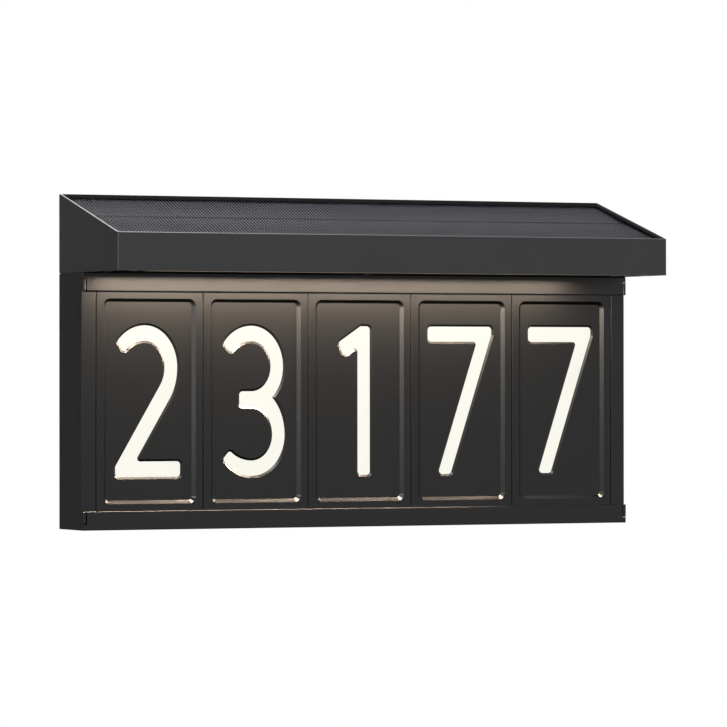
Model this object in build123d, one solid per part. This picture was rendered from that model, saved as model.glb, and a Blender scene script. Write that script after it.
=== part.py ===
from build123d import *
import os
from math import asin, atan, cos, degrees, radians, sin, sqrt, tan

# A solar house number sign that hangs on two wall screws.
# Millimetres. X runs to the viewer's right, Z up, and the viewer stands towards -Y.
# Depths are measured forward from the wall, heights from the sign's bottom edge.
# Every piece is shifted at the end, so that the origin lies midway between the keyholes.

# ---- Overall sizes ----
body_height = 167.8
canopy_height = 52.2
canopy_depth = 99.5
fascia_height = 24.4
end_strip_width = 10.25
rail_face = 41.3
tile_face = 38.5
side_face = 34.4
rail_height = 12.4
wall = 2.4
edge_round = 0.6
seam_groove = 0.5

# ---- Number tiles and the channel that they slide in ----
tile_count = 5
tile_pitch = 75.9
tile_gap = 0.3
channel_clearance = 0.3
tongue_height = 4.6
tongue_clearance = 0.4
recess_side_margin = 5.2
recess_end_margin = 4.5
recess_depth = 2.1
recess_bevel = 2.2
recess_corner = 4.6

# ---- Numerals ----
numerals = ("2", "3", "1", "7", "7")
numeral_height = 99.1
upright_stroke = 9.15
level_stroke = 10.15
stroke_corner = 2.4
tip_corner = 2.0
inner_corner = 2.0
numeral_bevel_width = 1.4
numeral_bevel_depth = 0.8
opal_sheet = 0.6
opal_margin = 3.0
opal_clearance = 0.05

# ---- End strips ----
ear_width = 2.2
ear_reach = 8.4
ear_round = 0.8
ear_proud = 0.1
ear_clearance = 0.5
ear_end_clearance = 0.2

# ---- Light window, reflector and backlight ----
bezel_thickness = 2.0
light_margin = 4.5
window_thickness = 2.0
window_lap = 3.6
tray_depth = 18.4
tray_wall = 1.5
led_board = 1.2
led_column_width = 14.0
led_end_margin = 10.5
led_bus_height = 8.0
leds_per_column = 5
led_length = 3.5
led_width = 2.8
led_height = 1.4

# ---- Back plate and keyholes ----
plate_thickness = 2.4
plate_clearance = 0.15
back_seal_thickness = 1.0
back_seal_width = 2.4
ledge_thickness = 2.0
keyhole_drop = 37.8
keyhole_spacing = 300.0
keyhole_entry_radius = 4.5
keyhole_slot_radius = 2.2
keyhole_rise = 9.0
keyhole_pocket_depth = 6.0
keyhole_pocket_margin = 3.0
pocket_wall = 1.5
post_radius = 3.0
post_spacing = 200.0
post_heights = (40.0, 100.0)
seat_gap = 0.2

# ---- Screws ----
boss_radius = 3.2
pilot_radius = 1.25
shank_radius = 1.2
shank_length = 8.0
head_radius = 2.8
head_height = 1.7
clearance_radius = 1.6
cross_depth = 0.8
cross_width = 0.7
back_screw_inset = 8.6
screw_side_inset = 14.0

# ---- Canopy ----
rim_width = 1.4
recess_below_rim = 2.3
deck_thickness = 2.0
canopy_corner = 2.0
canopy_edge = 0.8
front_screw_setback = 7.0
rear_screw_setback = 49.5
canopy_screw_xs = (-150.0, -45.0, 45.0, 150.0)
canopy_screw_depth = 27.5
canopy_boss_height = 6.4

# ---- Solar panel ----
solar_board_thickness = 1.0
cell_thickness = 0.3
cover_thickness = 0.7
cell_rows = 2
cell_columns = 6
cell_row_gap = 0.9
cell_column_gap = 0.2
cell_margin = 1.0
gasket_width = 0.8
panel_lead_x = 90.0
panel_lead_depth = 30.0
panel_lead_hole = 2.0

# ---- Downlight ----
lens_end_margin = 25.0
lens_width = 10.0
lens_setback = 12.5
lens_clearance = 0.15
lens_recess = 0.7
lens_flange = 2.0
lens_flange_thickness = 1.2
light_rib = 1.6
light_rib_height = 5.8
downlight_count = 12

# ---- Battery ----
cell_radius = 9.2
cell_length = 64.2
nub_radius = 2.7
nub_length = 0.8
battery_cell_count = 2
cell_room = 0.8
bay_end_room = 6.0
bay_side_inset = 43.0
bay_rise = 9.8
bay_wall = 1.4
holder_clearance = 0.2
contact_thickness = 0.5
contact_radius = 3.0
cover_plate = 1.4
cover_lap_x = 13.0
cover_lap_z = 5.5
cover_clearance = 0.3
battery_seal_thickness = 0.8
battery_seal_width = 2.4
bay_flange = 4.4
bay_flange_margin = 2.0
small_boss_radius = 2.6
small_pilot = 0.95
small_shank = 0.9
small_shank_length = 5.0
small_head_radius = 2.0
small_head_height = 1.2
cover_screw_inset_x = 4.0
cover_screw_inset_z = 4.6

# ---- Controller and power button ----
board_thickness = 1.6
board_x = 30.0
board_length = 80.0
board_depth = 26.0
board_width = 32.0
board_standoff = 7.8
board_screw_inset = 4.0
connector_length = 8.0
connector_width = 6.0
connector_height = 4.0
chip_size = 8.0
coil_radius = 5.0
coil_height = 5.0
capacitor_radius = 4.0
capacitor_height = 9.0
button_x = 98.0
button_depth = 50.0
button_radius = 4.5
button_clearance = 0.2
button_inset = 0.2
button_flange = 1.0
button_flange_thickness = 1.0
button_rest_gap = 0.2
button_travel = 1.2
button_dish = 0.4
plunger_radius = 1.6
plunger_clearance = 0.2
plunger_length = 3.8
switch_size = 7.2
switch_end_gap = 0.5

# ---- Leads ----
lead_radius = 0.9
grommet_x = 60.0
grommet_depth = 20.0
grommet_radius = 4.0
grommet_clearance = 0.1
grommet_flange = 1.5
grommet_flange_thickness = 1.0
grommet_bore = 1.2
lead_bend = 4.0

# ---- Worked out from the sizes above ----
tiles_half = tile_count * tile_pitch / 2
half_width = tiles_half + end_strip_width
inner_half = half_width - wall
sign_height = body_height + canopy_height
top_rail_bottom = body_height - rail_height
tile_back = side_face + channel_clearance
lip_back = tile_face + channel_clearance
tile_bottom = rail_height - tongue_height
tile_top = top_rail_bottom + tongue_height
groove_bottom = tile_bottom - tongue_clearance
groove_top = tile_top + tongue_clearance
tile_middle = (tile_bottom + tile_top) / 2
floor_face = tile_face - recess_depth
ear_bottom = rail_height - ear_reach
ear_top = top_rail_bottom + ear_reach
notch_start = half_width - ear_width - ear_clearance
bezel_back = side_face - bezel_thickness
light_half = tiles_half - light_margin
light_bottom = rail_height + light_margin
light_top = top_rail_bottom - light_margin
window_back = bezel_back - window_thickness
led_column_base = light_bottom + led_end_margin
led_column_top = light_top - led_end_margin
tray_back = window_back - tray_depth
tray_floor = tray_back + tray_wall
canopy_top_front = body_height + fascia_height
slope_drop = sign_height - canopy_top_front
slope_angle = degrees(atan(slope_drop / canopy_depth))
slope_length = sqrt(slope_drop**2 + canopy_depth**2)
laminate_thickness = solar_board_thickness + cell_thickness + cover_thickness
pocket_depth = recess_below_rim + laminate_thickness
base_top = body_height + wall
screw_rows = (back_screw_inset, body_height - back_screw_inset)
screw_columns = (screw_side_inset - half_width, 0, half_width - screw_side_inset)
back_screw_places = [(x, z) for x in screw_columns for z in screw_rows]
base_screw_places = [(x, canopy_depth - rear_screw_setback) for x in screw_columns]
base_screw_places += [(x, canopy_depth - front_screw_setback) for x in (screw_columns[0], screw_columns[-1])]
bay_start = bay_side_inset - half_width
bay_length = battery_cell_count * (cell_length + nub_length) + 2 * bay_end_room
bay_height = 2 * (cell_radius + cell_room)
bay_bottom = base_top + bay_rise
bay_end = bay_start + bay_length
bay_top = bay_bottom + bay_height
bay_floor = bay_height + wall
cell_z = bay_bottom + bay_height / 2
cell_depth = bay_floor - bay_height / 2
board_bottom = base_top + board_standoff
board_top = board_bottom + board_thickness
lens_half = half_width - lens_end_margin
lens_depth = canopy_depth - lens_setback
lead_height = board_top + connector_height / 2
keyhole_height = body_height - keyhole_drop
numeral_base = tile_middle - numeral_height / 2
grid = numeral_height / 100
keyhole_xs = (-keyhole_spacing / 2, keyhole_spacing / 2)
tile_centres = [(n - (tile_count - 1) / 2) * tile_pitch for n in range(tile_count)]

# Local frame of the canopy's sloping top: its y axis runs up the slope to the wall.
slope = Plane(
    origin=(0, -canopy_depth / 2, sign_height - slope_drop / 2),
    x_dir=(1, 0, 0),
    z_dir=(0, -sin(radians(slope_angle)), cos(radians(slope_angle))),
)


def block(x0, x1, d0, d1, z0, z1):
    """A box between two X values, two depths from the wall and two heights."""
    return Pos((x0 + x1) / 2, -(d0 + d1) / 2, (z0 + z1) / 2) * Box(x1 - x0, d1 - d0, z1 - z0)


def rod_forward(x, z, radius, d0, d1):
    """A round bar that runs forward from depth d0 to depth d1."""
    return Pos(x, -(d0 + d1) / 2, z) * Rot(90, 0, 0) * Cylinder(radius, d1 - d0)


def rod_up(x, depth, radius, z0, z1):
    """A round bar that stands from height z0 to height z1."""
    return Pos(x, -depth, (z0 + z1) / 2) * Cylinder(radius, z1 - z0)


def sloped(width, u, v0, v1, w0, w1):
    """A box on the slope: centred on u, v0 to v1 down from the wall edge, w0 to w1 below the rim."""
    centre = Pos(u, slope_length / 2 - (v0 + v1) / 2, -(w0 + w1) / 2)
    return slope * centre * Box(width, v1 - v0, w1 - w0)


def front_edges(solid):
    """The edges that lie in a solid's foremost plane."""
    return solid.edges().group_by(Axis.Y)[0]


def cross(radius):
    """The cross recess in the top of a screw head at the origin."""
    bar = Box(1.2 * radius, cross_width, 2 * cross_depth)
    return bar + Rot(0, 0, 90) * bar


def pan_screw(radius, height, shank, length):
    """A pan-head screw along -Z, with the top of its head at the origin."""
    head = Pos(0, 0, -height / 2) * Cylinder(radius, height)
    body = Pos(0, 0, -height - length / 2) * Cylinder(shank, length)
    return head + body - cross(radius)


def flush_screw(radius, height, shank, length):
    """A countersunk screw along -Z, with the top of its head at the origin."""
    head = Pos(0, 0, -height / 2) * Cone(shank, radius, height)
    body = Pos(0, 0, -height - length / 2) * Cylinder(shank, length)
    return head + body - cross(radius)


def countersink(radius, height, through, length, gap):
    """The hole that a flush screw sits in, along -Z from the origin, wider by the gap."""
    seat = Pos(0, 0, -height / 2) * Cone(through, radius + gap, height)
    hole = Pos(0, 0, -length / 2) * Cylinder(through, length)
    return seat + hole


forward = Rot(-90, 0, 0)
upward = Rot(180, 0, 0)


def lead(points, bends):
    """An insulated lead along straight runs with rounded corners."""
    path = FilletPolyline(*points, radius=bends) if bends else Polyline(*points)
    end = Plane(origin=path @ 0, z_dir=path % 0)
    return sweep(end * Circle(lead_radius), path=path)


# ---- Numeral outlines, about the tile's centre line, on a grid of 100 steps to the numeral's height ----


def at(x, z):
    """A point on the numeral grid."""
    return (x * grid, z * grid)


def ellipse_arc(centre, across, up, start, end):
    """Part of an upright ellipse, between two angles in degrees, anticlockwise if end is larger."""
    return EllipticalCenterArc(centre, across, up, start, arc_size=end - start)


def rounded(face, corners):
    """The face with the vertex nearest to each (x, z, radius) rounded."""
    for x, z, radius in corners:
        corner = face.vertices().sort_by_distance((x, z, 0))[0]
        face = fillet(corner, radius)
    return face


def outline_one():
    """A stem with a flag that falls to the left."""
    left = -0.4 * grid
    right = left + upright_stroke
    lean = 0.665
    shoulder = at(1.8, 100)
    tip = at(-15.0, 88.8)
    heel = at(-10.7, 79.8)
    crotch = (left, heel[1] + lean * (left - heel[0]))
    points = [(left, 0), (right, 0), (right, numeral_height), shoulder, tip, heel, crotch]
    face = make_face(Polyline(*points, close=True))
    corners = [(*p, stroke_corner) for p in (points[0], points[1], points[2], tip, heel)]
    return rounded(face, corners + [(*crotch, inner_corner)])


def outline_seven():
    """A level bar with a straight leg that leans from its right end."""
    left = -24.4 * grid
    right = 24.1 * grid
    foot_right = -7.0 * grid
    lean = 0.33
    foot_left = foot_right - upright_stroke * sqrt(1 + lean**2)
    under = numeral_height - level_stroke
    knee = (right, (right - foot_right) / lean)
    crotch = (foot_left + lean * under, under)
    points = [
        (foot_left, 0), (foot_right, 0), knee, (right, numeral_height),
        (left, numeral_height), (left, under), crotch,
    ]
    face = make_face(Polyline(*points, close=True))
    corners = [(*p, stroke_corner) for p in (points[0], points[1], points[3], points[4], points[5])]
    return rounded(face, corners + [(*crotch, inner_corner)])


def outline_two():
    """A hook and bowl that run into a straight diagonal and a level base."""
    left = -23.6 * grid
    right = 22.9 * grid
    centre = at(-2.3, 72.35)
    lean = 0.6
    across = 23.2 * grid
    inner_across = across - upright_stroke
    rise = numeral_height - centre[1]
    inner_rise = rise - level_stroke
    fall = 32.3 * grid
    inner_fall = 18.7 * grid
    hook_across = 25.2 * grid
    inner_hook_across = 17.7 * grid
    hook_angle, inner_hook_angle = 142.5, 147.5
    outer_angle = degrees(atan(lean * fall / across))
    inner_angle = degrees(atan(lean * inner_fall / inner_across))
    outer_low = ellipse_arc(centre, across, fall, -outer_angle, 0)
    outer_top = ellipse_arc(centre, across, rise, 0, 90)
    outer_hook = ellipse_arc(centre, hook_across, rise, 90, hook_angle)
    inner_hook = ellipse_arc(centre, inner_hook_across, inner_rise, 90, inner_hook_angle)
    inner_top = ellipse_arc(centre, inner_across, inner_rise, 0, 90)
    inner_low = ellipse_arc(centre, inner_across, inner_fall, -inner_angle, 0)
    start = outer_low @ 0
    crotch = (start.X - lean * (start.Y - level_stroke), level_stroke)
    turn = inner_low @ 0
    heel = (left, turn.Y - (turn.X - left) / lean)
    edges = [
        outer_low, outer_top, outer_hook,
        Line(outer_hook @ 1, inner_hook @ 1),
        inner_hook, inner_top, inner_low,
        Line(turn, heel), Line(heel, (left, 0)), Line((left, 0), (right, 0)),
        Line((right, 0), (right, level_stroke)), Line((right, level_stroke), crotch), Line(crotch, start),
    ]
    face = make_face(Wire(edges))
    tips = [(p.X, p.Y, tip_corner) for p in (outer_hook @ 1, inner_hook @ 1)]
    squares = [(left, 0, stroke_corner), (right, 0, stroke_corner), (right, level_stroke, stroke_corner)]
    return rounded(face, tips + squares + [(*crotch, inner_corner)])


def outline_three():
    """Two hooked bowls that meet in a short level bar."""
    upper = at(-2.0, 72.85)
    lower = at(-2.0, 27.45)
    bar_left, bar_top = at(-10.9, 56.4)
    bar_bottom = bar_top - level_stroke
    across = 23.2 * grid
    inner_across = across - upright_stroke
    low_across = 24.3 * grid
    low_inner_across = low_across - upright_stroke
    rise = numeral_height - upper[1]
    inner_rise = rise - level_stroke
    hook_across = 24.9 * grid
    inner_hook_across = 17.8 * grid
    hook_angle, inner_hook_angle = 146.1, 148.4
    low_hook_across = 25.8 * grid
    low_inner_hook_across = 19.7 * grid
    low_hook_angle, low_inner_hook_angle = 216.0, 216.4
    notch_angle = 49.3
    low_inner_fall = lower[1] - level_stroke
    outer_top = ellipse_arc(upper, across, rise, -notch_angle, 90)
    outer_hook = ellipse_arc(upper, hook_across, rise, 90, hook_angle)
    inner_hook = ellipse_arc(upper, inner_hook_across, inner_rise, 90, inner_hook_angle)
    inner_top = ellipse_arc(upper, inner_across, inner_rise, 0, 90)
    inner_foot = ellipse_arc(upper, inner_across, upper[1] - bar_top, -90, 0)
    notch = outer_top @ 0
    notch_turn = sqrt(1 - ((notch.X - lower[0]) / low_across) ** 2)
    low_rise = (notch.Y - lower[1]) / notch_turn
    low_outer = ellipse_arc(lower, low_across, low_rise, 0, degrees(asin(notch_turn)))
    low_bottom = ellipse_arc(lower, low_across, lower[1], -90, 0)
    low_hook = ellipse_arc(lower, low_hook_across, lower[1], low_hook_angle, 270)
    low_inner_hook = ellipse_arc(lower, low_inner_hook_across, low_inner_fall, low_inner_hook_angle, 270)
    low_inner = ellipse_arc(lower, low_inner_across, low_inner_fall, -90, 0)
    low_inner_top = ellipse_arc(lower, low_inner_across, bar_bottom - lower[1], 0, 90)
    edges = [
        outer_top, outer_hook, Line(outer_hook @ 1, inner_hook @ 1), inner_hook, inner_top, inner_foot,
        Line((upper[0], bar_top), (bar_left, bar_top)),
        Line((bar_left, bar_top), (bar_left, bar_bottom)),
        Line((bar_left, bar_bottom), (lower[0], bar_bottom)),
        low_inner_top, low_inner, low_inner_hook, Line(low_inner_hook @ 0, low_hook @ 0),
        low_hook, low_bottom, low_outer,
    ]
    face = make_face(Wire(edges))
    ends = (outer_hook @ 1, inner_hook @ 1, low_hook @ 0, low_inner_hook @ 0)
    tips = [(p.X, p.Y, tip_corner) for p in ends]
    squares = [(bar_left, bar_top, stroke_corner), (bar_left, bar_bottom, stroke_corner)]
    return rounded(face, tips + squares)


outlines = {"1": outline_one(), "2": outline_two(), "3": outline_three(), "7": outline_seven()}


def numeral_prism(face, centre_x, d0, d1):
    """A numeral's outline made solid between two depths, in front of its tile's centre."""
    standing = Plane(origin=(centre_x, -d0, numeral_base), x_dir=(1, 0, 0), z_dir=(0, -1, 0))
    return extrude(standing * face, amount=d1 - d0)


# ---- Housing: side walls, the two rails and the bezel behind the tiles ----


def make_housing():
    shell = block(-half_width, half_width, 0, side_face, 0, body_height)
    shell = fillet(front_edges(shell).filter_by(Axis.Z), edge_round)
    for z0, z1 in ((0, rail_height), (top_rail_bottom, body_height)):
        rail = block(-half_width, half_width, 0, rail_face, z0, z1)
        shell += fillet(front_edges(rail), edge_round)
    groove_half = half_width - seam_groove
    groove = block(-half_width, half_width, 0, rail_face, body_height - seam_groove, body_height)
    shell -= groove - block(-groove_half, groove_half, seam_groove, rail_face, 0, body_height)
    shell -= block(-inner_half, inner_half, 0, bezel_back, wall, body_height - wall)
    shell -= block(-light_half, light_half, bezel_back, side_face, light_bottom, light_top)
    for z0, z1 in ((groove_bottom, rail_height), (top_rail_bottom, groove_top)):
        shell -= block(-half_width, half_width, side_face, lip_back, z0, z1)
    for z0, z1 in ((wall, groove_bottom - wall), (groove_top + wall, body_height - wall)):
        shell -= block(-notch_start + wall, notch_start - wall, bezel_back, lip_back, z0, z1)
    notch_low, notch_high = ear_bottom - ear_end_clearance, ear_top + ear_end_clearance
    for x0, x1 in ((-half_width, -notch_start), (notch_start, half_width)):
        shell -= block(x0, x1, side_face, rail_face, notch_low, notch_high)
    ledge_front = plate_thickness + back_seal_thickness
    ledge = block(-inner_half, inner_half, ledge_front, ledge_front + ledge_thickness, wall, body_height - wall)
    open_half = inner_half - back_seal_width
    open_low = wall + back_seal_width
    ledge -= block(-open_half, open_half, 0, rail_face, open_low, body_height - open_low)
    shell += ledge
    for x, z in back_screw_places:
        shell += rod_forward(x, z, boss_radius, plate_thickness, bezel_back)
        shell -= rod_forward(x, z, pilot_radius, plate_thickness, plate_thickness + 2 * shank_length)
    for x in canopy_screw_xs:
        shell -= rod_up(x, canopy_screw_depth, clearance_radius, body_height - wall, body_height)
    return shell - rod_up(grommet_x, grommet_depth, grommet_radius, body_height - wall, body_height)


def make_back_plate():
    edge = inner_half - plate_clearance
    low = wall + plate_clearance
    plate = block(-edge, edge, 0, plate_thickness, low, body_height - low)
    pocket_half = keyhole_entry_radius + keyhole_pocket_margin
    for x in keyhole_xs:
        low_z = keyhole_height - pocket_half
        high_z = keyhole_height + keyhole_rise + pocket_half
        pocket_front = plate_thickness + keyhole_pocket_depth
        plate += block(x - pocket_half, x + pocket_half, 0, pocket_front + pocket_wall, low_z, high_z)
        inside = pocket_half - pocket_wall
        plate -= block(
            x - inside, x + inside, plate_thickness, pocket_front, low_z + pocket_wall, high_z - pocket_wall
        )
        plate -= rod_forward(x, keyhole_height, keyhole_entry_radius, 0, plate_thickness)
        plate -= rod_forward(x, keyhole_height + keyhole_rise, keyhole_slot_radius, 0, plate_thickness)
        plate -= block(
            x - keyhole_slot_radius, x + keyhole_slot_radius, 0, plate_thickness,
            keyhole_height, keyhole_height + keyhole_rise,
        )
    for x in (-post_spacing / 2, post_spacing / 2):
        for z in post_heights:
            plate += rod_forward(x, z, post_radius, 0, tray_back - seat_gap)
    for x, z in back_screw_places:
        seat = countersink(head_radius, head_height, clearance_radius, plate_thickness, seat_gap)
        plate -= Pos(x, 0, z) * forward * seat
    return plate


def make_back_seal():
    front = plate_thickness + back_seal_thickness
    low = wall + back_seal_width
    ring = block(-inner_half, inner_half, plate_thickness, front, wall, body_height - wall)
    open_half = inner_half - back_seal_width
    return ring - block(-open_half, open_half, plate_thickness, front, low, body_height - low)


def make_light_window():
    half = light_half + window_lap
    return block(-half, half, window_back, bezel_back, light_bottom - window_lap, light_top + window_lap)


def make_reflector_tray():
    half = light_half + tray_wall
    low, high = light_bottom - tray_wall, light_top + tray_wall
    tray = block(-half, half, tray_back, window_back, low, high)
    tray -= block(-light_half, light_half, tray_floor, window_back, light_bottom, light_top)
    return tray - rod_up(grommet_x, grommet_depth, lead_radius + seat_gap, light_top, high)


def make_backlight_board():
    front = tray_floor + led_board
    bus = tile_centres[-1] + led_column_width / 2
    board = block(-bus, bus, tray_floor, front, led_column_top, led_column_top + led_bus_height)
    for x in tile_centres:
        half = led_column_width / 2
        board += block(x - half, x + half, tray_floor, front, led_column_base, led_column_top)
    return board


def make_backlight_leds():
    back = tray_floor + led_board
    step = (led_column_top - led_column_base) / leds_per_column
    chips = []
    for x in tile_centres:
        for n in range(leds_per_column):
            z = led_column_base + (n + 0.5) * step
            chips.append(block(
                x - led_length / 2, x + led_length / 2, back, back + led_height, z - led_width / 2, z + led_width / 2
            ))
    return Compound(chips)


# ---- Number tiles, their opal sheets and the end strips ----


def make_tile(centre_x, outline):
    half = (tile_pitch - tile_gap) / 2
    tile = block(centre_x - half, centre_x + half, tile_back, tile_face, tile_bottom, tile_top)
    tile = fillet(front_edges(tile), edge_round)
    recess = RectangleRounded(
        2 * (half - recess_side_margin),
        top_rail_bottom - rail_height - 2 * recess_end_margin,
        recess_corner,
    )
    inward = Plane(origin=(centre_x, -tile_face, tile_middle), x_dir=(1, 0, 0), z_dir=(0, 1, 0))
    taper = degrees(atan(recess_bevel / recess_depth))
    tile -= extrude(inward * recess, amount=recess_depth, taper=taper)
    tile -= numeral_prism(outline, centre_x, tile_back, floor_face)
    floor = tile.faces().sort_by_distance((centre_x - half / 2, -floor_face, rail_height + 2 * recess_end_margin))[0]
    rim = floor.inner_wires()[0].edges()
    tile = chamfer(rim, numeral_bevel_width, numeral_bevel_depth, reference=floor)
    return tile - opal_pocket(centre_x, 0)


def opal_pocket(centre_x, gap):
    """The opal sheet behind a tile's numeral, smaller all round by the gap."""
    half = (tile_pitch - tile_gap) / 2 - recess_side_margin - opal_margin - gap
    low = numeral_base - 2 * opal_margin + gap
    high = numeral_base + numeral_height + 2 * opal_margin - gap
    return block(centre_x - half, centre_x + half, tile_back, tile_back + opal_sheet, low, high)


def make_end_strip(side):
    """The closing strip at one end: side is -1 on the left and 1 on the right."""
    inner = tiles_half + tile_gap / 2
    ear_inner = half_width - ear_width
    stile = block(inner, half_width + ear_proud, tile_back, tile_face, tile_bottom, tile_top)
    strip = fillet(front_edges(stile), edge_round)
    strip += block(ear_inner, half_width + ear_proud, tile_back, tile_face - edge_round, ear_bottom, ear_top)
    for z0, z1 in ((ear_bottom, rail_height), (top_rail_bottom, ear_top)):
        ear = block(ear_inner, half_width + ear_proud, tile_back, rail_face + ear_proud, z0, z1)
        strip += fillet(front_edges(ear), ear_round)
    return strip if side > 0 else mirror(strip, about=Plane.YZ)


# ---- Canopy ----


def slope_height(depth):
    """Height of the canopy's sloping top at a depth from the wall."""
    return sign_height - slope_drop * depth / canopy_depth


def profile_prism(half, points):
    """A prism along X between -half and half, from (depth, height) points."""
    corners = [(-d, z) for d, z in points]
    section = Plane.YZ * make_face(Polyline(*corners, close=True))
    return extrude(section, amount=half, both=True)


def make_canopy_shell():
    outline = [
        (0, body_height), (0, sign_height), (canopy_depth, canopy_top_front), (canopy_depth, body_height),
    ]
    shell = profile_prism(half_width, outline)
    uprights = shell.edges().filter_by(Axis.Z).group_by(Axis.Y)[0]
    shell = fillet(uprights, canopy_corner)
    top = shell.faces().sort_by(Axis.Z)[-1]
    shell = fillet(top.edges(), canopy_edge)
    drop = (pocket_depth + deck_thickness) / cos(radians(slope_angle))
    front = canopy_depth - wall
    cavity = [
        (wall, body_height), (wall, slope_height(wall) - drop), (front, slope_height(front) - drop),
        (front, body_height),
    ]
    shell -= profile_prism(half_width - wall, cavity)
    shell -= sloped(2 * (half_width - rim_width), 0, rim_width, slope_length - rim_width, 0, pocket_depth)
    for x, depth in base_screw_places:
        boss_top = slope_height(depth) - drop
        shell += rod_up(x, depth, boss_radius, base_top, boss_top)
        shell -= rod_up(x, depth, pilot_radius, base_top, base_top + 2 * shank_length)
    shell += bay_walls() - bay_space()
    shell -= bay_space()
    hole_top = slope_height(panel_lead_depth)
    return shell - rod_up(panel_lead_x, panel_lead_depth, panel_lead_hole, hole_top - drop - wall, hole_top)


def cover_outline(gap):
    """Low and high X and Z of the battery cover, wider all round by the gap."""
    return (
        bay_start - cover_lap_x - gap, bay_end + cover_lap_x + gap,
        bay_bottom - cover_lap_z - gap, bay_top + cover_lap_z + gap,
    )


def cover_screw_places():
    x0, x1, z0, z1 = cover_outline(0)
    xs = (x0 + cover_screw_inset_x, x1 - cover_screw_inset_x)
    zs = (z0 + cover_screw_inset_z, z1 - cover_screw_inset_z)
    return [(x, z) for x in xs for z in zs]


def bay_walls():
    """The battery bay's walls, with the thick flange that its cover is screwed to."""
    x0, x1, z0, z1 = cover_outline(bay_flange_margin)
    walls = block(x0, x1, 0, bay_flange, z0, z1)
    walls += block(
        bay_start - bay_wall, bay_end + bay_wall, 0, bay_floor + bay_wall, bay_bottom - bay_wall, bay_top + bay_wall
    )
    for x, z in cover_screw_places():
        walls += rod_forward(x, z, small_boss_radius, 0, bay_flange + small_shank_length)
    return walls


def bay_space():
    """Everything that is hollow in the battery bay: the cover's seat, the bay and the screw holes."""
    x0, x1, z0, z1 = cover_outline(cover_clearance)
    space = block(x0, x1, 0, cover_plate + battery_seal_thickness, z0, z1)
    space += block(bay_start, bay_end, 0, bay_floor, bay_bottom, bay_top)
    for x, z in cover_screw_places():
        space += rod_forward(x, z, small_pilot, 0, bay_flange + small_shank_length - wall)
    return space


def make_battery_cover():
    x0, x1, z0, z1 = cover_outline(0)
    cover = block(x0, x1, 0, cover_plate, z0, z1)
    for x, z in cover_screw_places():
        hole = countersink(small_head_radius, small_head_height, small_pilot + seat_gap, cover_plate, seat_gap)
        cover -= Pos(x, 0, z) * forward * hole
    return cover


def make_battery_seal():
    back, front = cover_plate, cover_plate + battery_seal_thickness
    reach = battery_seal_width
    ring = block(bay_start - reach, bay_end + reach, back, front, bay_bottom - reach, bay_top + reach)
    return ring - block(bay_start, bay_end, back, front, bay_bottom, bay_top)


def make_battery_holder():
    gap = holder_clearance
    tray = block(
        bay_start + gap, bay_end - gap, cell_depth, bay_floor - gap, bay_bottom + gap, bay_top - gap
    )
    for x0 in (bay_start + gap, bay_end - gap - bay_wall):
        tray += block(x0, x0 + bay_wall, cell_depth - cell_radius, bay_floor - gap, bay_bottom + gap, bay_top - gap)
    run = bay_length - 2 * (gap + bay_wall)
    channel = Pos((bay_start + bay_end) / 2, -cell_depth, cell_z) * Rot(0, 90, 0)
    return tray - channel * Cylinder(cell_radius + gap, run)


def cells_start():
    """X where the row of cells starts, centred in the bay."""
    row = battery_cell_count * (cell_length + nub_length)
    return (bay_start + bay_end - row) / 2


def make_battery_cells():
    cells = []
    for n in range(battery_cell_count):
        x0 = cells_start() + n * (cell_length + nub_length)
        turn = Rot(0, 90, 0)
        can = Pos(x0 + cell_length / 2, -cell_depth, cell_z) * turn * Cylinder(cell_radius, cell_length)
        can = fillet(can.edges(), edge_round)
        nub = Pos(x0 + cell_length + nub_length / 2, -cell_depth, cell_z) * turn
        cells.append(can + nub * Cylinder(nub_radius, nub_length))
    return Compound(cells)


def make_battery_contacts():
    contacts = []
    first = cells_start()
    last = first + battery_cell_count * (cell_length + nub_length)
    inner_ends = (bay_start + holder_clearance + bay_wall, bay_end - holder_clearance - bay_wall)
    for wall_x, cell_x in zip(inner_ends, (first, last)):
        towards = 1 if cell_x > wall_x else -1
        plate_x = wall_x + towards * contact_thickness / 2
        plate = Pos(plate_x, -cell_depth, cell_z) * Box(contact_thickness, cell_radius, cell_radius)
        bump_length = abs(cell_x - wall_x) - contact_thickness
        bump_x = wall_x + towards * (contact_thickness + bump_length / 2)
        bump = Pos(bump_x, -cell_depth, cell_z) * Rot(0, 90, 0) * Cylinder(contact_radius, bump_length)
        contacts.append(plate + bump)
    return Compound(contacts)


def make_canopy_base():
    gap = plate_clearance
    half = half_width - wall - gap
    plate = block(-half, half, wall + gap, canopy_depth - wall - gap, body_height, base_top)
    slot_back, slot_front = lens_depth - lens_width / 2, lens_depth + lens_width / 2
    plate -= block(-lens_half, lens_half, slot_back, slot_front, body_height, base_top)
    for rib_back in light_rib_backs():
        rib_top = base_top + light_rib_height
        plate += block(-lens_half, lens_half, rib_back, rib_back + light_rib, base_top, rib_top)
    for x, depth in base_screw_places:
        seat = countersink(head_radius, head_height, clearance_radius, wall, seat_gap)
        plate -= Pos(x, -depth, body_height) * upward * seat
    for x in canopy_screw_xs:
        plate += rod_up(x, canopy_screw_depth, boss_radius, base_top, base_top + canopy_boss_height)
        plate -= rod_up(x, canopy_screw_depth, pilot_radius, body_height, base_top + canopy_boss_height)
    for x, depth in board_screw_places():
        plate += rod_up(x, depth, small_boss_radius, base_top, board_bottom)
        plate -= rod_up(x, depth, small_pilot, base_top, board_bottom)
    plate -= rod_up(button_x, button_depth, button_radius + button_clearance, body_height, base_top)
    return plate - rod_up(grommet_x, grommet_depth, grommet_radius, body_height, base_top)


def light_rib_backs():
    """Depths of the backs of the two ribs that carry the downlight board."""
    reach = lens_width / 2 + lens_flange + seat_gap
    return (lens_depth - reach - light_rib, lens_depth + reach)


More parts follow.
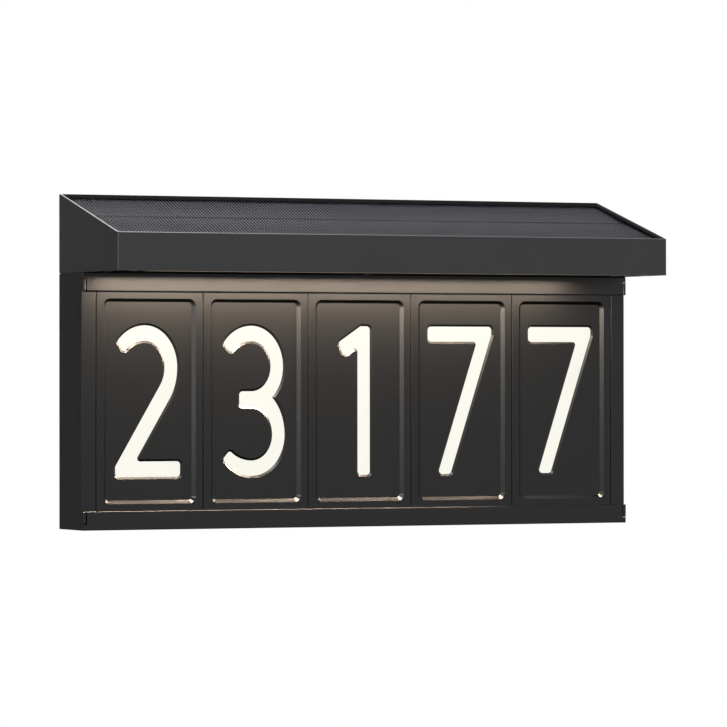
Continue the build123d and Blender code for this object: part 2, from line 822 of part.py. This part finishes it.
def make_downlight_lens():
    half = lens_half - lens_clearance
    reach = lens_width / 2 - lens_clearance
    lens = block(-half, half, lens_depth - reach, lens_depth + reach, body_height + lens_recess, base_top)
    half = lens_half + lens_flange
    reach = lens_width / 2 + lens_flange
    return lens + block(
        -half, half, lens_depth - reach, lens_depth + reach, base_top, base_top + lens_flange_thickness
    )


def make_downlight_board():
    back, front = light_rib_backs()
    bottom = base_top + light_rib_height
    return block(-lens_half, lens_half, back, front + light_rib, bottom, bottom + led_board)


def make_downlight_leds():
    top = base_top + light_rib_height
    chips = []
    step = 2 * lens_half / downlight_count
    for n in range(downlight_count):
        x = (n + 0.5) * step - lens_half
        chips.append(block(
            x - led_length / 2, x + led_length / 2,
            lens_depth - led_width / 2, lens_depth + led_width / 2, top - led_height, top,
        ))
    return Compound(chips)


# ---- Solar panel in the canopy's recess ----

panel_half = half_width - rim_width - gasket_width
panel_v0 = rim_width + gasket_width
panel_v1 = slope_length - rim_width - gasket_width


def laminate_layer(w0, w1):
    """One full layer of the laminate, between two depths below the rim."""
    return sloped(2 * panel_half, 0, panel_v0, panel_v1, w0, w1)


def make_solar_cells():
    top = recess_below_rim + cover_thickness
    usable_x = 2 * (panel_half - cell_margin)
    usable_v = panel_v1 - panel_v0 - 2 * cell_margin
    step_x = usable_x / cell_columns
    step_v = usable_v / cell_rows
    cells = []
    for row in range(cell_rows):
        v0 = panel_v0 + cell_margin + row * step_v
        for column in range(cell_columns):
            u = -usable_x / 2 + (column + 0.5) * step_x
            cells.append(sloped(
                step_x - cell_column_gap, u, v0 + cell_row_gap / 2, v0 + step_v - cell_row_gap / 2,
                top, top + cell_thickness,
            ))
    return Compound(cells)


def make_solar_board():
    top = recess_below_rim + cover_thickness + cell_thickness
    return laminate_layer(top, pocket_depth)


def make_panel_gasket():
    """Edge gasket: it lines the recess's side walls to the rim and stays low at the front and back."""
    inner = 2 * panel_half
    outer = 2 * (half_width - rim_width)
    low = sloped(outer, 0, rim_width, slope_length - rim_width, recess_below_rim, pocket_depth)
    low -= sloped(inner, 0, panel_v0, panel_v1, 0, pocket_depth)
    high = sloped(outer, 0, panel_v0, panel_v1, canopy_edge, pocket_depth)
    return low + high - sloped(inner, 0, 0, slope_length, 0, recess_below_rim) - laminate_layer(0, pocket_depth)


# ---- Controller, power button and leads ----


def board_screw_places():
    xs = (board_x + board_screw_inset, board_x + board_length - board_screw_inset)
    depths = (board_depth + board_screw_inset, board_depth + board_width - board_screw_inset)
    return [(x, d) for x in xs for d in depths]


def make_controller_board():
    front = board_depth + board_width
    board = block(board_x, board_x + board_length, board_depth, front, board_bottom, board_top)
    for x, depth in board_screw_places():
        board -= rod_up(x, depth, small_pilot + seat_gap, board_bottom, board_top)
    return board


def connector(x, depth):
    half_x, half_d = connector_length / 2, connector_width / 2
    return block(x - half_x, x + half_x, depth - half_d, depth + half_d, board_top, board_top + connector_height)


battery_plug = (board_x + connector_length, board_depth + board_width / 2)
backlight_plug = (grommet_x, board_depth + connector_width / 2)
downlight_plug = (grommet_x + 2 * connector_length, board_depth + board_width - connector_width / 2)
panel_plug = (panel_lead_x, panel_lead_depth + connector_width / 2)


def make_board_parts():
    parts = [connector(*place) for place in (battery_plug, backlight_plug, downlight_plug, panel_plug)]
    middle = board_depth + board_width / 2
    chip_x = board_x + board_length / 2
    half = chip_size / 2
    parts.append(block(chip_x - half, chip_x + half, middle - half, middle + half, board_top, board_top + led_height))
    coil_depth = board_depth + board_width - coil_radius - board_screw_inset / 2
    coil = rod_up(chip_x - 3 * coil_radius, coil_depth, coil_radius, board_top, board_top + coil_height)
    capacitor_x = chip_x + chip_size + capacitor_radius
    capacitor = rod_up(capacitor_x, middle, capacitor_radius, board_top, board_top + capacitor_height)
    return Compound(parts + [coil, capacitor])


def make_power_button():
    bottom = body_height + button_inset
    flange_bottom = base_top + button_rest_gap
    button = rod_up(button_x, button_depth, button_radius, bottom, flange_bottom)
    button = chamfer(button.edges().group_by(Axis.Z)[0], button_dish / 2)
    dish = Pos(button_x, -button_depth, bottom) * Cylinder(button_radius - 4 * button_dish, 2 * button_dish)
    flange_top = flange_bottom + button_flange_thickness
    button += rod_up(button_x, button_depth, button_radius + button_flange, flange_bottom, flange_top)
    return button - dish


plunger_bottom = base_top + button_rest_gap + button_flange_thickness
plunger_top = plunger_bottom + plunger_length


def make_power_switch():
    half = switch_size / 2
    bottom = plunger_bottom + button_travel + switch_end_gap
    body = block(
        button_x - half, button_x + half, button_depth - half, button_depth + half, bottom, board_bottom
    )
    bore = plunger_top + button_travel + switch_end_gap
    return body - rod_up(button_x, button_depth, plunger_radius + plunger_clearance, bottom, bore)


def make_grommet():
    radius = grommet_radius - grommet_clearance
    low, high = body_height - wall, base_top
    body = rod_up(grommet_x, grommet_depth, radius, low - grommet_flange_thickness, high + grommet_flange_thickness)
    flange = grommet_radius + grommet_flange
    body += rod_up(grommet_x, grommet_depth, flange, low - grommet_flange_thickness, low)
    body += rod_up(grommet_x, grommet_depth, flange, high, high + grommet_flange_thickness)
    return body - rod_up(
        grommet_x, grommet_depth, grommet_bore, low - grommet_flange_thickness, high + grommet_flange_thickness
    )


def make_backlight_lead():
    end_z = led_column_top + led_bus_height / 2
    points = [
        (grommet_x, -board_depth, lead_height), (grommet_x, -grommet_depth, lead_height),
        (grommet_x, -grommet_depth, end_z), (grommet_x, -(tray_floor + led_board), end_z),
    ]
    return lead(points, lead_bend * 0.6)


def make_battery_lead():
    plug_x, plug_depth = battery_plug
    start_x = bay_end + bay_wall
    points = [
        (start_x, -cell_depth, cell_z), (start_x + 5 * lead_bend, -cell_depth, cell_z),
        (plug_x - connector_length / 2 - 4 * lead_bend, -plug_depth, lead_height),
        (plug_x - connector_length / 2, -plug_depth, lead_height),
    ]
    return lead(points, 2 * lead_bend)


def make_downlight_lead():
    plug_x, plug_depth = downlight_plug
    board_z = base_top + light_rib_height + led_board
    points = [
        (plug_x, -(plug_depth + connector_width / 2), lead_height),
        (plug_x, -lens_depth, lead_height), (plug_x, -lens_depth, board_z),
    ]
    return lead(points, lead_bend * 0.6)


def make_panel_lead():
    under = slope_height(panel_lead_depth) - (pocket_depth + seat_gap) / cos(radians(slope_angle))
    low = under - lead_radius * tan(radians(slope_angle))
    points = [
        (panel_lead_x, -panel_lead_depth, low),
        (panel_lead_x, -panel_lead_depth, board_top + connector_height),
    ]
    return lead(points, None)


# ---- Screws ----

long_flush = flush_screw(head_radius, head_height, shank_radius, shank_length)
short_flush = flush_screw(small_head_radius, small_head_height, small_shank, small_shank_length)
long_pan = pan_screw(head_radius, head_height, shank_radius, shank_length)
short_pan = pan_screw(small_head_radius, small_head_height, small_shank, small_shank_length)

back_screws = [Pos(x, 0, z) * forward * long_flush for x, z in back_screw_places]
base_screws = [Pos(x, -d, body_height) * upward * long_flush for x, d in base_screw_places]
canopy_screw_top = body_height - wall - head_height
canopy_screws = [Pos(x, -canopy_screw_depth, canopy_screw_top) * upward * long_pan for x in canopy_screw_xs]
cover_screws = [Pos(x, 0, z) * forward * short_flush for x, z in cover_screw_places()]
board_screws = [Pos(x, -d, board_top + small_head_height) * short_pan for x, d in board_screw_places()]

# ---- The pieces, by name ----

pieces = {
    "housing": make_housing(),
    "back_plate": make_back_plate(),
    "back_seal": make_back_seal(),
    "back_screws": Compound(back_screws),
    "light_window": make_light_window(),
    "reflector_tray": make_reflector_tray(),
    "backlight_board": make_backlight_board(),
    "backlight_leds": make_backlight_leds(),
    "left_end_strip": make_end_strip(-1),
    "right_end_strip": make_end_strip(1),
    "canopy_shell": make_canopy_shell(),
    "canopy_base": make_canopy_base(),
    "base_screws": Compound(base_screws),
    "canopy_screws": Compound(canopy_screws),
    "solar_cover": laminate_layer(recess_below_rim, recess_below_rim + cover_thickness),
    "solar_cells": make_solar_cells(),
    "solar_board": make_solar_board(),
    "panel_gasket": make_panel_gasket(),
    "downlight_lens": make_downlight_lens(),
    "downlight_board": make_downlight_board(),
    "downlight_leds": make_downlight_leds(),
    "battery_holder": make_battery_holder(),
    "battery_cells": make_battery_cells(),
    "battery_contacts": make_battery_contacts(),
    "battery_cover": make_battery_cover(),
    "battery_seal": make_battery_seal(),
    "battery_cover_screws": Compound(cover_screws),
    "controller_board": make_controller_board(),
    "board_parts": make_board_parts(),
    "board_screws": Compound(board_screws),
    "power_switch": make_power_switch(),
    "switch_plunger": rod_up(button_x, button_depth, plunger_radius, plunger_bottom, plunger_top),
    "power_button": make_power_button(),
    "lead_grommet": make_grommet(),
    "backlight_lead": make_backlight_lead(),
    "battery_lead": make_battery_lead(),
    "downlight_lead": make_downlight_lead(),
    "panel_lead": make_panel_lead(),
}
for n, (centre, digit) in enumerate(zip(tile_centres, numerals), start=1):
    pieces[f"number_tile_{n}"] = make_tile(centre, outlines[digit])
    pieces[f"opal_sheet_{n}"] = opal_pocket(centre, opal_clearance)

os.makedirs("parts", exist_ok=True)
for name, piece in pieces.items():
    export_step(Pos(0, 0, -keyhole_height) * piece, f"parts/{name}.step")
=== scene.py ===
import math

import bmesh
import bpy
from mathutils import Matrix, Vector


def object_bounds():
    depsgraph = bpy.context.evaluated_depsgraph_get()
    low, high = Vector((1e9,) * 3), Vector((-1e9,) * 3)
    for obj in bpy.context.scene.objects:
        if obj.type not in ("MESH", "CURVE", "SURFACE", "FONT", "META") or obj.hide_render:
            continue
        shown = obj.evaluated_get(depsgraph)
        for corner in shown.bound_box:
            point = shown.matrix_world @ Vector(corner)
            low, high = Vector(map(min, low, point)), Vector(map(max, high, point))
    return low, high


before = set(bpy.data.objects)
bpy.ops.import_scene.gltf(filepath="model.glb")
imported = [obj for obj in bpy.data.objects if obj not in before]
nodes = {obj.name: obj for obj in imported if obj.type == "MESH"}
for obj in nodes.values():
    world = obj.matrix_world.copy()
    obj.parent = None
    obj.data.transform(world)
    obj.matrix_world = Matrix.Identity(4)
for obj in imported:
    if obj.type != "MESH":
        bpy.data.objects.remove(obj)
cad_low, cad_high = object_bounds()

# ---- Housing ----
# The black body behind the numbers is one moulding in UV-stable plastic, with the fine even
# grain of a spark-eroded mould, so it shines softly and never mirrors. Towards its foot it is
# a little smoother, so the glow of the downlight fades quickly down the face.
plastic_black = (0.0003, 0.0003, 0.0003, 1)
plastic_roughness = 0.31
foot_roughness = 0.2
plastic_specular = 0.33
usual_specular = 0.5
grain_size = 0.00045
grain_height = 0.000003
grain_strength = 0.35
cloud_size = 0.06
cloud_tint = 0.15
cloud_shine = 0.003


def new_finish(name, colour, settings):
    """A material with its shader's settings, its node tree and its Object coordinates."""
    finish = bpy.data.materials.new(name)
    finish.use_nodes = True
    tree = finish.node_tree
    shader = tree.nodes["Principled BSDF"]
    shader.inputs["Base Color"].default_value = colour
    for socket, value in settings.items():
        shader.inputs[socket].default_value = value
    place = tree.nodes.new("ShaderNodeTexCoord").outputs["Object"]
    return finish, tree, shader, place


def noise(tree, place, size):
    """Even noise from 0 to 1, whose blobs are about size metres across."""
    cloud = tree.nodes.new("ShaderNodeTexNoise")
    cloud.inputs["Scale"].default_value = 1 / size
    tree.links.new(place, cloud.inputs["Vector"])
    return cloud.outputs["Fac"]


def spread(tree, value, low, high, start=0.0, end=1.0):
    """Maps a value that runs from start to end onto the range from low to high."""
    ramp = tree.nodes.new("ShaderNodeMapRange")
    ramp.inputs["From Min"].default_value = start
    ramp.inputs["From Max"].default_value = end
    ramp.inputs["To Min"].default_value = low
    ramp.inputs["To Max"].default_value = high
    tree.links.new(value, ramp.inputs["Value"])
    return ramp.outputs["Result"]


def maths(tree, operation, *values):
    """The result of a Math node on sockets and plain numbers."""
    node = tree.nodes.new("ShaderNodeMath")
    node.operation = operation
    for socket, value in zip(node.inputs, values):
        if isinstance(value, bpy.types.NodeSocket):
            tree.links.new(value, socket)
        else:
            socket.default_value = value
    return node.outputs["Value"]


def along(tree, place, axis):
    """One coordinate of a place, X, Y or Z."""
    split = tree.nodes.new("ShaderNodeSeparateXYZ")
    tree.links.new(place, split.inputs["Vector"])
    return split.outputs[axis]


def vary(tree, shader, place, socket, size, low, high):
    """Runs one of the shader's inputs from low to high, in blobs about size metres across."""
    tree.links.new(spread(tree, noise(tree, place, size), low, high), shader.inputs[socket])


def emboss(tree, shader, height, depth, strength):
    """Raises the surface by the height value, depth metres high."""
    bump = tree.nodes.new("ShaderNodeBump")
    bump.inputs["Strength"].default_value = strength
    bump.inputs["Distance"].default_value = depth
    tree.links.new(height, bump.inputs["Height"])
    tree.links.new(bump.outputs["Normal"], shader.inputs["Normal"])


def tint(tree, shader, value, dark, light):
    """Runs the base colour from dark to light with a 0 to 1 value."""
    mix = tree.nodes.new("ShaderNodeMix")
    mix.data_type = "RGBA"
    mix.inputs["A"].default_value = dark
    mix.inputs["B"].default_value = light
    tree.links.new(value, mix.inputs["Factor"])
    tree.links.new(mix.outputs["Result"], shader.inputs["Base Color"])


def moulded(name, colour, roughness, grain=grain_size, specular=usual_specular, foot=None):
    """Moulded plastic or rubber: a fine grain, and faint clouds in its colour and shine.

    Where foot is given, the roughness runs from it at the sign's foot to the plain value.
    """
    settings = {"Specular IOR Level": specular}
    finish, tree, shader, place = new_finish(name, colour, settings)
    cloud = noise(tree, place, cloud_size)
    darker = [c * (1 - cloud_tint) for c in colour[:3]] + [1]
    lighter = [c * (1 + cloud_tint) for c in colour[:3]] + [1]
    tint(tree, shader, cloud, darker, lighter)
    base = roughness
    if foot is not None:
        base = spread(tree, along(tree, place, "Z"), foot, roughness, cad_low[2], 0)
    shine = spread(tree, cloud, -cloud_shine, cloud_shine)
    tree.links.new(maths(tree, "ADD", base, shine), shader.inputs["Roughness"])
    emboss(tree, shader, noise(tree, place, grain), grain_height, grain_strength)
    return finish


def dress(finish, *names):
    """Gives CAD nodes their finish."""
    for name in names:
        nodes[name].data.materials.clear()
        nodes[name].data.materials.append(finish)


black = moulded(
    "black_satin",
    plastic_black,
    plastic_roughness,
    specular=plastic_specular,
    foot=foot_roughness,
)
dress(black, "housing")

# ---- Back plate, its seal and its screws ----
# A flat plate of the same black plastic closes the back. It has two keyholes with closed
# pockets behind them, and six plated screws press it onto a soft rubber ring.
rubber_black = (0.008, 0.008, 0.008, 1)
rubber_roughness = 0.75
rubber_specular = 0.2
rubber_grain = 0.0008
steel_grey = (0.55, 0.55, 0.56, 1)
steel_roughness = (0.26, 0.4)
steel_mottle = 0.0006
steel_grain = 0.0003
steel_height = 0.00001
steel_strength = 0.3
dress(black, "back_plate")

rubber = moulded("seal_rubber", rubber_black, rubber_roughness, rubber_grain, rubber_specular)
dress(rubber, "back_seal")

steel, tree, shader, place = new_finish("screw_steel", steel_grey, {"Metallic": 1.0})
vary(tree, shader, place, "Roughness", steel_mottle, *steel_roughness)
emboss(tree, shader, noise(tree, place, steel_grain), steel_height, steel_strength)
dress(steel, "back_screws")

# ---- Backlight ----
# A white tray behind a clear window holds five short LED strips, one behind each number.
# The tray's matte walls spread the strips' light. The numerals' even glow is painted light, the
# opal sheets' own emission.
tray_white = (0.86, 0.86, 0.84, 1)
tray_roughness = 0.6
board_green = (0.012, 0.09, 0.035, 1)
board_roughness = 0.35
board_grain = 0.0015
led_yellow = (0.85, 0.62, 0.18, 1)
led_pale = (0.95, 0.75, 0.3, 1)
led_mottle = 0.0012
led_roughness = 0.3
led_glow = (1.0, 0.88, 0.66, 1)
led_strength = 3.0
window_tone = (0.93, 0.94, 0.93, 1)
window_ior = 1.49
window_roughness = (0.03, 0.1)
window_mottle = 0.02
reflector = moulded("reflector_white", tray_white, tray_roughness)
dress(reflector, "reflector_tray")

circuit = moulded("board_green", board_green, board_roughness, board_grain)
dress(circuit, "backlight_board")

chip, tree, shader, place = new_finish("led_phosphor", led_yellow, {
    "Roughness": led_roughness,
    "Emission Color": led_glow,
    "Emission Strength": led_strength,
})
tint(tree, shader, noise(tree, place, led_mottle), led_yellow, led_pale)
dress(chip, "backlight_leds")

clear, tree, shader, place = new_finish("window_clear", window_tone, {
    "Transmission Weight": 1.0,
    "IOR": window_ior,
})
vary(tree, shader, place, "Roughness", window_mottle, *window_roughness)
dress(clear, "light_window")

# ---- Number tiles ----
# Five black tiles slide in the rails, each with a bevelled recess and a numeral cut through
# its floor. The opal sheet behind it has almost no colour of its own. In the sign it is lit
# from the back; here that light is painted on, as the sheet's own even warm white glow.
tile_count = 5
opal_base = (0.006, 0.006, 0.005, 1)
opal_roughness = 0.35
# Painted light: the backlight shining through the sheet is painted as the sheet's own warm
# emission.
painted_backlight_glow = (1.0, 0.985, 0.89, 1)
painted_glow_strength = 0.9
painted_glow_swing = 0.05
painted_glow_mottle = 0.03
painted_glow_low = painted_glow_strength * (1 - painted_glow_swing)
painted_glow_high = painted_glow_strength * (1 + painted_glow_swing)

opal, tree, shader, place = new_finish("opal_painted_glow", opal_base, {
    "Roughness": opal_roughness,
    "Emission Color": painted_backlight_glow,
})
# The painted glow's strength varies a little in soft blobs.
vary(tree, shader, place, "Emission Strength", painted_glow_mottle, painted_glow_low, painted_glow_high)
for n in range(1, tile_count + 1):
    dress(black, f"number_tile_{n}")
    dress(opal, f"opal_sheet_{n}")

# ---- End strips ----
# A plain strip of the tiles' black plastic closes the row at each end, with an ear that laps
# over both rails.
dress(black, "left_end_strip", "right_end_strip")

# ---- Canopy ----
# The sloping hood is a second black moulding, with a flat matte plate screwed in under it.
# Its black is painted a little lighter than the housing's, as painted light for the fuller
# light on the hood's front.
# Four more screws hold it down on the housing from inside.
# Painted light: a lighter black that stands in for the fuller light falling on the hood's
# front.
canopy_painted_light_black = (0.021, 0.021, 0.0215, 1)
underside_black = (0.0004, 0.0004, 0.0004, 1)
matte_roughness = 0.7
matte_specular = 0.02
hood = moulded("black_canopy_painted_light", canopy_painted_light_black, plastic_roughness, specular=plastic_specular)
dress(hood, "canopy_shell")
matte = moulded("black_underside", underside_black, matte_roughness, specular=matte_specular)
dress(matte, "canopy_base")
dress(steel, "base_screws", "canopy_screws")

# ---- Solar panel ----
# Two rows of dark violet cells lie on a black backing under a clear cover, in a recess with a
# rubber edge. Silver fingers cross each cell. Two sets of fine ribs cross in the cover, and a
# black line is printed on it over the gap between the rows.
backing_black = (0.002, 0.002, 0.002, 1)
cell_violet = (0.010, 0.009, 0.016, 1)
cell_silver = (0.08, 0.08, 0.10, 1)
cell_roughness = 0.6
cell_specular = 0.03
finger_pitch = 0.002
finger_share = 0.12
cover_clear = (0.8, 0.8, 0.84, 1)
cover_ior = 1.035
rib_pitch = 0.0023
rib_leans = (-0.18, -0.77)
rib_height = 0.00016
rib_strength = 0.6
rib_roughness = (0.12, 0.4)
seam_half_width = 0.0011
one_wave = math.pi / 5
backing = moulded("black_backing", backing_black, matte_roughness, specular=matte_specular)
dress(backing, "solar_board")
dress(rubber, "panel_gasket")

silicon, tree, shader, place = new_finish("solar_cell", cell_violet, {
    "Roughness": cell_roughness,
    "Specular IOR Level": cell_specular,
})
fold = maths(tree, "PINGPONG", along(tree, place, "X"), finger_pitch / 2)
finger = maths(tree, "LESS_THAN", fold, finger_pitch * finger_share / 2)
tint(tree, shader, finger, cell_violet, cell_silver)
dress(silicon, "solar_cells")


def leaning_lines(tree, place, pitch, lean):
    """Soft lines pitch metres apart in X, which lean by lean in X for each step in Y.

    The place is counted in pitches, and the wave has the scale that repeats once in each.
    """
    turn = tree.nodes.new("ShaderNodeMapping")
    turn.inputs["Scale"].default_value = (1 / pitch, lean / pitch, 0)
    tree.links.new(place, turn.inputs["Vector"])
    wave = tree.nodes.new("ShaderNodeTexWave")
    wave.bands_direction = "DIAGONAL"
    wave.inputs["Scale"].default_value = one_wave
    tree.links.new(turn.outputs["Vector"], wave.inputs["Vector"])
    return wave.outputs["Fac"]


cover, tree, shader, place = new_finish("solar_cover", cover_clear, {
    "Transmission Weight": 1.0,
    "IOR": cover_ior,
})
rib_sets = [leaning_lines(tree, place, rib_pitch, lean) for lean in rib_leans]
ribs = maths(tree, "MULTIPLY", *rib_sets)
tree.links.new(spread(tree, ribs, *rib_roughness), shader.inputs["Roughness"])
emboss(tree, shader, ribs, rib_height, rib_strength)
cell_depths = [corner.co.y for corner in nodes["solar_cells"].data.vertices]
seam_depth = (min(cell_depths) + max(cell_depths)) / 2
seam = maths(tree, "COMPARE", along(tree, place, "Y"), seam_depth, seam_half_width)
tint(tree, shader, seam, cover_clear, backing_black)
dress(cover, "solar_cover")

# ---- Downlight ----
# Behind a frosted lens in the canopy's underside, a row of warm LEDs washes the sign's face.
# Its sheen on the face comes from a small lamp over each tile that only glossy surfaces
# answer to. The sheen is the lamp's brightness, and it is stronger towards the left.
lens_tone = (0.9, 0.88, 0.84, 1)
lens_glow = (1.0, 0.80, 0.62)
lens_strength = 3.0
lens_swing = 0.1
lens_mottle = 0.03
lens_frosting = 0.002
lens_roughness = (0.45, 0.55)
lens_dim = lens_strength * (1 - lens_swing)
lens_bright = lens_strength * (1 + lens_swing)
sheen_left = 450.0
sheen_right = 290.0
sheen_gap = 0.00005
dress(circuit, "downlight_board")
dress(chip, "downlight_leds")

frosted, tree, shader, place = new_finish("lens_frosted", lens_tone, {
    "Emission Color": (*lens_glow, 1),
})
vary(tree, shader, place, "Emission Strength", lens_mottle, lens_dim, lens_bright)
vary(tree, shader, place, "Roughness", lens_frosting, *lens_roughness)
dress(frosted, "downlight_lens")

corners = [corner.co for corner in nodes["downlight_lens"].data.vertices]
lens_low = [min(corner[axis] for corner in corners) for axis in range(3)]
lens_high = [max(corner[axis] for corner in corners) for axis in range(3)]
lamp_length = (lens_high[0] - lens_low[0]) / tile_count
lamp_width = lens_high[1] - lens_low[1]
for n in range(tile_count):
    across = (n + 0.5) / tile_count
    sheen = sheen_left + (sheen_right - sheen_left) * across
    lamp = bpy.data.lights.new(f"sheen_{n + 1}", "AREA")
    lamp.shape = "RECTANGLE"
    lamp.size = lamp_length
    lamp.size_y = lamp_width
    lamp.color = lens_glow
    lamp.energy = sheen * math.pi * lamp_length * lamp_width
    holder = bpy.data.objects.new(lamp.name, lamp)
    holder.location = (
        lens_low[0] + across * (lens_high[0] - lens_low[0]),
        (lens_low[1] + lens_high[1]) / 2,
        lens_low[2] - sheen_gap,
    )
    holder.visible_camera = False
    holder.visible_diffuse = False
    bpy.context.scene.collection.objects.link(holder)

# ---- Battery ----
# Two sleeved cells sit end to end in a black cradle, behind a screwed cover on a rubber ring.
# A plated contact with a round bump touches the row of cells at each end.
sleeve_blue = (0.02, 0.07, 0.3, 1)
sleeve_roughness = 0.25
sleeve_grain = 0.003
nickel = (0.75, 0.74, 0.7, 1)
nickel_roughness = (0.15, 0.3)
nickel_mottle = 0.002
dress(black, "battery_holder", "battery_cover")
dress(rubber, "battery_seal")
dress(steel, "battery_cover_screws")
sleeve = moulded("battery_sleeve", sleeve_blue, sleeve_roughness, sleeve_grain)
dress(sleeve, "battery_cells")
plated, tree, shader, place = new_finish("contact_metal", nickel, {"Metallic": 1.0})
vary(tree, shader, place, "Roughness", nickel_mottle, *nickel_roughness)
dress(plated, "battery_contacts")

# ---- Controller and power button ----
# A small green board hangs in the canopy on four posts. The rubbery button under the hood
# pushes a white plunger into the switch on the board's underside.
part_black = (0.02, 0.02, 0.02, 1)
part_roughness = 0.45
plunger_tone = (0.8, 0.8, 0.76, 1)
plunger_roughness = 0.4
button_tone = (0.03, 0.03, 0.032, 1)
button_roughness = 0.6
button_grain = 0.0006
dress(circuit, "controller_board")
dress(steel, "board_screws")
component = moulded("board_part_black", part_black, part_roughness)
dress(component, "board_parts", "power_switch")
plunger = moulded("plunger_white", plunger_tone, plunger_roughness)
dress(plunger, "switch_plunger")
button = moulded("black_button", button_tone, button_roughness, button_grain)
dress(button, "power_button")

# ---- Leads ----
# Short red leads join the boards and the battery inside. One of them drops from the canopy
# into the housing through a rubber grommet.
lead_red = (0.35, 0.02, 0.015, 1)
lead_roughness = 0.4
lead_grain = 0.001
insulation = moulded("lead_insulation", lead_red, lead_roughness, lead_grain)
dress(insulation, "backlight_lead", "battery_lead", "downlight_lead", "panel_lead")
dress(rubber, "lead_grommet")

# ---- Studio ----
# The sign hangs free over a pale floor, in soft light from the front and above. What lies
# beyond is plain white to the camera and in reflections.
floor_drop = 0.7
floor_radius = 1.6
floor_corners = 96
floor_colour = (0.62, 0.62, 0.62, 1)
floor_roughness = 0.9
ambient = 0.45
card_roughness = 0.9
low_card_drop = 0.2

mesh = bpy.data.meshes.new("floor")
shape = bmesh.new()
bmesh.ops.create_circle(shape, cap_ends=True, segments=floor_corners, radius=floor_radius)
bmesh.ops.translate(shape, verts=shape.verts, vec=(0, 0, cad_low[2] - floor_drop))
shape.to_mesh(mesh)
shape.free()
floor = bpy.data.objects.new("floor", mesh)
bpy.context.scene.collection.objects.link(floor)
pale = new_finish("floor_pale", floor_colour, {
    "Roughness": floor_roughness,
    "Specular IOR Level": 0.0,
})[0]
mesh.materials.append(pale)


def seen_directly(tree):
    """1 for camera, glossy and transmission rays, and 0 for the light that falls on things."""
    path = tree.nodes.new("ShaderNodeLightPath")
    first = maths(tree, "MAXIMUM", path.outputs["Is Camera Ray"], path.outputs["Is Glossy Ray"])
    return maths(tree, "MAXIMUM", first, path.outputs["Is Transmission Ray"])


world = bpy.data.worlds.new("studio")
bpy.context.scene.world = world
world.use_nodes = True
tree = world.node_tree
backdrop = tree.nodes["Background"]
backdrop.inputs["Color"].default_value = (1, 1, 1, 1)
tree.links.new(spread(tree, seen_directly(tree), ambient, 1.0), backdrop.inputs["Strength"])


def softbox(name, place, size, power):
    """A square soft lamp that points at the frame's origin, between the keyholes."""
    lamp = bpy.data.lights.new(name, "AREA")
    lamp.shape = "SQUARE"
    lamp.size = size
    lamp.energy = power
    holder = bpy.data.objects.new(name, lamp)
    holder.location = place
    holder.rotation_euler = (-Vector(place)).to_track_quat("-Z", "Y").to_euler()
    holder.visible_camera = False
    bpy.context.scene.collection.objects.link(holder)


def card(name, size, centre, facing, shade):
    """A square dark card that only reflections see."""
    colour = (shade, shade, shade, 1)
    mesh = bpy.data.meshes.new(name)
    shape = bmesh.new()
    bmesh.ops.create_grid(shape, x_segments=1, y_segments=1, size=size / 2)
    turn = Vector(facing).to_track_quat("Z", "Y").to_matrix().to_4x4()
    bmesh.ops.transform(shape, verts=shape.verts, matrix=Matrix.Translation(centre) @ turn)
    shape.to_mesh(mesh)
    shape.free()
    mesh.materials.append(moulded(name, colour, card_roughness, specular=0.0))
    sheet = bpy.data.objects.new(name, mesh)
    sheet.visible_camera = False
    sheet.visible_diffuse = False
    sheet.visible_transmission = False
    sheet.visible_shadow = False
    bpy.context.scene.collection.objects.link(sheet)


softbox("key", place=(-0.25, -1.1, 0.75), size=0.5, power=8)
softbox("left", place=(-1.9, -0.9, 0.3), size=0.5, power=7)
softbox("rim", place=(0.15, 0.9, 1.3), size=0.8, power=20)

# Dark cards stand out of view behind both sides and below, so that what faces them reads
# darker than the front. They show in reflections only.
low_centre = (0.18, 0, cad_low[2] - low_card_drop)
card("left_card", size=2.0, centre=(-0.7, 0.9, 0.05), facing=(0.7, -0.9, 0), shade=0.23)
card("right_card", size=1.2, centre=(1.2, 0.6, 0), facing=(-0.9, -0.45, 0), shade=0.03)
card("low_card", size=0.7, centre=low_centre, facing=(0, 0, 1), shade=0.02)

# ---- Camera ----
# It stands level with the sign's middle, 25 degrees round to the left, with a long lens.
# Its place, turn and lens come from a fit to the edges of the sign in the photo.
view_yaw = math.radians(25.47)
view_pitch = math.radians(0.166)
view_roll = math.radians(0.037)
eye = (-1.3908, -2.9639, -0.0308)
lens_length = 240.7
sensor_width = 36.0
optics = bpy.data.cameras.new("camera")
optics.lens = lens_length
optics.sensor_width = sensor_width
camera = bpy.data.objects.new("camera", optics)
aim = Matrix.Rotation(-view_yaw, 4, "Z") @ Matrix.Rotation(math.pi / 2 + view_pitch, 4, "X")
camera.matrix_world = Matrix.Translation(eye) @ aim @ Matrix.Rotation(-view_roll, 4, "Z")
bpy.context.scene.collection.objects.link(camera)
bpy.context.scene.camera = camera
bpy.context.scene.view_settings.view_transform = "Standard"
